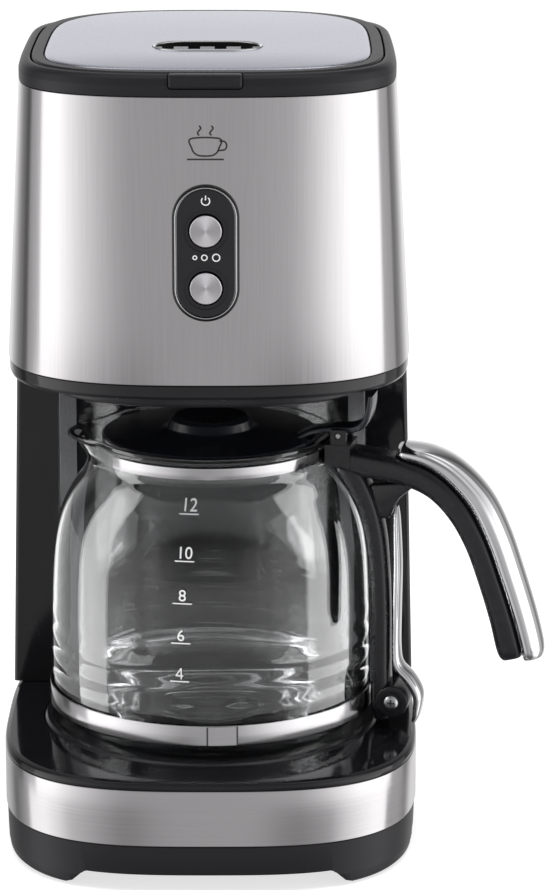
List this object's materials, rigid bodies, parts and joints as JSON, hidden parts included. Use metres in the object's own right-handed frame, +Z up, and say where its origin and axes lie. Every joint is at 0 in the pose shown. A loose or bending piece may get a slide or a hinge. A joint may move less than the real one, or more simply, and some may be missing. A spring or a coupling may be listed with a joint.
{
  "type": "drip coffee maker",
  "caption": "Drip coffee maker with brushed steel head, top lid, push buttons, lift-out filter basket, warming plate and a handled glass carafe.",
  "frame": {"origin": "centre of the bounding box in plan, on the plane the feet stand on", "axes": "+Z up, -Y is the front with the buttons, +X is the side the carafe handle points to"},
  "size_m": [0.2436, 0.2306, 0.3648],
  "materials": {
    "brushed_steel": "brushed stainless steel, vertical grain on the shell, horizontal on the base band",
    "satin_silver": "pale satin silver",
    "chrome": "polished",
    "gloss_black": "gloss black",
    "matt_black": "satin to matt charcoal black",
    "glass": "clear, polished",
    "rubber": "matt",
    "silicone": "translucent silicone",
    "coating": "black non-stick coating",
    "aluminium": "plain",
    "smoked_plastic": "smoked translucent plastic",
    "circuit_board": "green board",
    "filter_mesh": "fine nylon mesh"
  },
  "bodies": {
    "housing": {"base_band": "brushed_steel", "base_deck": "gloss_black", "base_screw_front_left": "brushed_steel", "base_screw_front_right": "brushed_steel", "base_screw_rear_left": "brushed_steel", "base_screw_rear_right": "brushed_steel", "bottom_cover": "matt_black", "brew_head": "matt_black", "check_valve": "silicone", "column_front": "gloss_black", "control_board": "circuit_board", "control_plate": "gloss_black", "control_ring": "chrome", "cord_gland": "rubber", "foot_pad_front_left": "rubber", "foot_pad_front_right": "rubber", "foot_pad_rear_left": "rubber", "foot_pad_rear_right": "rubber", "heater_clamp": "brushed_steel", "heater_element": "brushed_steel", "inlet_hose": "silicone", "lid_hinge_pin_left": "brushed_steel", "lid_hinge_pin_right": "brushed_steel", "lower_trim": "gloss_black", "plate_seal": "rubber", "power_switch": "matt_black", "rear_cover": "matt_black", "riser_hose": "silicone", "steel_wrap": "brushed_steel", "strength_switch": "matt_black", "thermostat": "matt_black", "top_frame": "matt_black", "warming_plate": "coating", "water_tank": "smoked_plastic", "water_tube": "aluminium"},
    "lid": {"lid_frame": "matt_black", "lid_panel": "satin_silver", "vent_insert": "chrome", "lid_tab": "matt_black", "spray_plate": "matt_black"},
    "basket": {"filter_basket": "matt_black", "mesh_filter": "filter_mesh", "valve_spring": "brushed_steel"},
    "valve": {"drip_valve": "silicone"},
    "carafe": {"carafe_glass": "glass", "neck_collar": "brushed_steel", "base_collar": "brushed_steel", "handle_frame": "matt_black", "handle_cover": "chrome", "spine_trim": "chrome", "lug_screw": "brushed_steel", "carafe_lid_pin": "brushed_steel"},
    "carafe_flap": {"carafe_lid": "gloss_black"},
    "power_key": {"power_button": "brushed_steel"},
    "strength_key": {"strength_button": "brushed_steel"}
  },
  "joints": [
    {"name": "lid_hinge", "type": "hinge", "parent": "housing", "child": "lid", "pos_m": [-0.02821, 0.09265, 0.3586], "axis": [-1, 0, 0], "range_deg": [0, 95]},
    {"name": "basket_lift", "type": "slide", "parent": "housing", "child": "basket", "axis": [0, 0, 1], "range_m": [0, 0.009]},
    {"name": "drip_valve_slide", "type": "slide", "parent": "basket", "child": "valve", "axis": [0, 0, 1], "range_m": [0, 0.003], "stiffness_N_per_m": 60, "springref_m": -0.004, "deforming": ["valve_spring"]},
    {"name": "carafe_slide", "type": "slide", "parent": "housing", "child": "carafe", "axis": [0, -0.999, 0.0436], "range_m": [0, 0.25]},
    {"name": "carafe_lid_hinge", "type": "hinge", "parent": "carafe", "child": "carafe_flap", "pos_m": [0.03097, -0.02993, 0.188], "axis": [0.2079, 0.9781, 0], "range_deg": [0, 6]},
    {"name": "power_press", "type": "slide", "parent": "housing", "child": "power_key", "axis": [0, 1, 0], "range_m": [0, 0.0018], "stiffness_N_per_m": 200},
    {"name": "strength_press", "type": "slide", "parent": "housing", "child": "strength_key", "axis": [0, 1, 0], "range_m": [0, 0.0018], "stiffness_N_per_m": 200}
  ]
}
